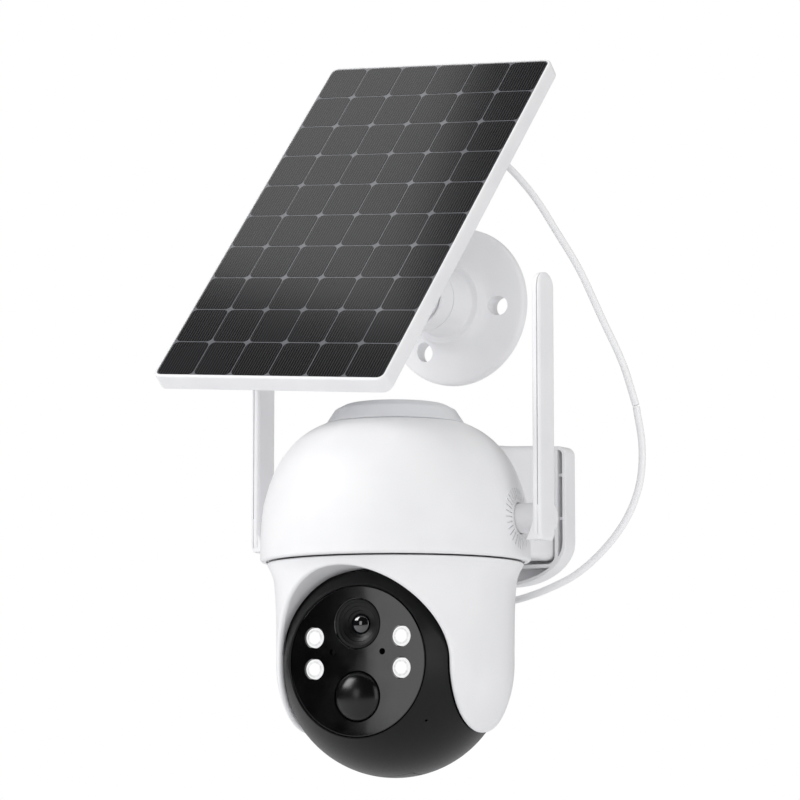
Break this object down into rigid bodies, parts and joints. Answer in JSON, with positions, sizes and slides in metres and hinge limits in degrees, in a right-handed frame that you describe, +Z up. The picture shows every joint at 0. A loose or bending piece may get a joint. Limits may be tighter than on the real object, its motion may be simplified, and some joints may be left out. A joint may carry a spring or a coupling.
{
  "type": "solar-powered security camera",
  "caption": "Wall-mounted pan and tilt security camera with a ball eye, two folding antennas and a tilting solar panel on its own wall flange, joined by a cable.",
  "frame": {"origin": "centre of the flat back of the camera's wall bracket, on the wall", "axes": "+X to the right seen from the front, +Y into the wall, +Z up"},
  "size_m": [0.1779, 0.1417, 0.3293],
  "materials": {
    "white_shell": "fine satin moulded ASA",
    "grey_plastic": "satin moulded ABS",
    "black_shell": "satin black ABS",
    "gloss_window": "polished tinted acrylic",
    "solar_cells": "monocrystalline cells under etched glass",
    "steel": "turned stainless steel",
    "rubber_seal": "matte silicone",
    "circuit_board": "solder mask",
    "lamp_lens": "frosted clear acrylic",
    "lens_glass": "coated optical glass",
    "battery_wrap": "heat-shrink film",
    "cable_jacket": "soft PVC",
    "acetal_gear": "natural acetal"
  },
  "bodies": {
    "wall_unit": {"wall_bracket": "white_shell", "upper_housing": "white_shell", "top_cap": "grey_plastic", "housing_base": "white_shell", "base_screw_1": "steel", "base_screw_2": "steel", "base_screw_3": "steel", "base_gasket": "rubber_seal", "pan_bearing": "steel", "battery_pack": "battery_wrap", "main_board": "circuit_board", "speaker": "black_shell", "pan_motor": "steel", "panel_flange": "white_shell", "locking_collar": "white_shell", "solar_cable_lower": "cable_jacket", "camera_gland": "cable_jacket"},
    "head": {"yoke_shell": "white_shell", "pan_gear": "acetal_gear", "pan_retaining_ring": "steel", "arm_cover_right": "white_shell", "arm_cover_left": "white_shell", "tilt_axle_right": "steel", "tilt_axle_left": "steel", "tilt_gear": "acetal_gear"},
    "eye": {"eye_front_shell": "black_shell", "eye_rear_shell": "black_shell", "face_glass": "gloss_window", "face_gasket": "rubber_seal", "led_lens_1": "lamp_lens", "led_lens_2": "lamp_lens", "led_lens_3": "lamp_lens", "led_lens_4": "lamp_lens", "lens_barrel": "black_shell", "lens_glass": "lens_glass", "motion_lens": "gloss_window", "face_board": "circuit_board", "motion_sensor": "steel", "image_board": "circuit_board", "microphone": "steel", "tilt_motor": "steel", "card_reader": "steel", "service_board": "circuit_board"},
    "panel_swivel": {"ball_seat": "grey_plastic", "solar_cable_upper": "cable_jacket"},
    "solar_panel": {"ball_stud": "white_shell", "panel_frame": "white_shell", "solar_laminate": "solar_cells", "panel_back": "white_shell", "junction_box": "white_shell", "charge_board": "circuit_board", "panel_gland": "cable_jacket"},
    "pan_drive": {"pan_pinion": "acetal_gear"},
    "tilt_drive": {"tilt_pinion": "acetal_gear"},
    "antenna_right": {"antenna_right": "white_shell", "antenna_retainer_right": "grey_plastic"},
    "antenna_left": {"antenna_left": "white_shell", "antenna_retainer_left": "grey_plastic"},
    "card_door": {"card_door": "black_shell"},
    "reset_button": {"reset_button": "grey_plastic"}
  },
  "joints": [
    {"name": "head_pan", "type": "hinge", "parent": "wall_unit", "child": "head", "pos_m": [0, -0.084, -0.0267], "axis": [0, 0, 1], "range_deg": [-170, 170]},
    {"name": "eye_tilt", "type": "hinge", "parent": "head", "child": "eye", "pos_m": [0, -0.084, -0.0683], "axis": [0.9969, 0.0785, 0], "range_deg": [0, 70]},
    {"name": "pan_pinion_turn", "type": "hinge", "parent": "wall_unit", "child": "pan_drive", "pos_m": [-0.024, -0.084, -0.016], "axis": [0, 0, 1], "range_deg": [-515, 515]},
    {"name": "tilt_pinion_turn", "type": "hinge", "parent": "eye", "child": "tilt_drive", "pos_m": [0.02826, -0.06071, -0.0683], "axis": [0.9969, 0.0785, 0], "range_deg": [-5, 180]},
    {"name": "card_door_hinge", "type": "hinge", "parent": "eye", "child": "card_door", "pos_m": [-0.00064, -0.07583, -0.1157], "axis": [0.9969, 0.0785, 0], "range_deg": [0, 75]},
    {"name": "reset_press", "type": "slide", "parent": "eye", "child": "reset_button", "axis": [0, 0, 1], "range_m": [0, 0.001], "stiffness_N_per_m": 400},
    {"name": "antenna_right_fold", "type": "hinge", "parent": "wall_unit", "child": "antenna_right", "pos_m": [0.0618, -0.076, -0.008], "axis": [1, 0, 0], "range_deg": [-20, 90]},
    {"name": "antenna_left_fold", "type": "hinge", "parent": "wall_unit", "child": "antenna_left", "pos_m": [-0.0618, -0.076, -0.008], "axis": [1, 0, 0], "range_deg": [-20, 0]},
    {"name": "panel_turn", "type": "hinge", "parent": "wall_unit", "child": "panel_swivel", "pos_m": [-0.017, -0.037, 0.0971], "axis": [0, 1, 0], "range_deg": [-9, 9], "deforming": ["solar_cable_upper", "solar_cable_lower"]},
    {"name": "panel_tilt", "type": "hinge", "parent": "panel_swivel", "child": "solar_panel", "pos_m": [-0.017, -0.037, 0.0971], "axis": [0.9968, 0, -0.0797], "range_deg": [-4, 4], "deforming": ["solar_cable_upper", "solar_cable_lower"]}
  ],
  "couplings": [
    {"joint": "pan_pinion_turn", "follows": "head_pan", "ratio": -3},
    {"joint": "tilt_pinion_turn", "follows": "eye_tilt", "ratio": 2.5}
  ]
}
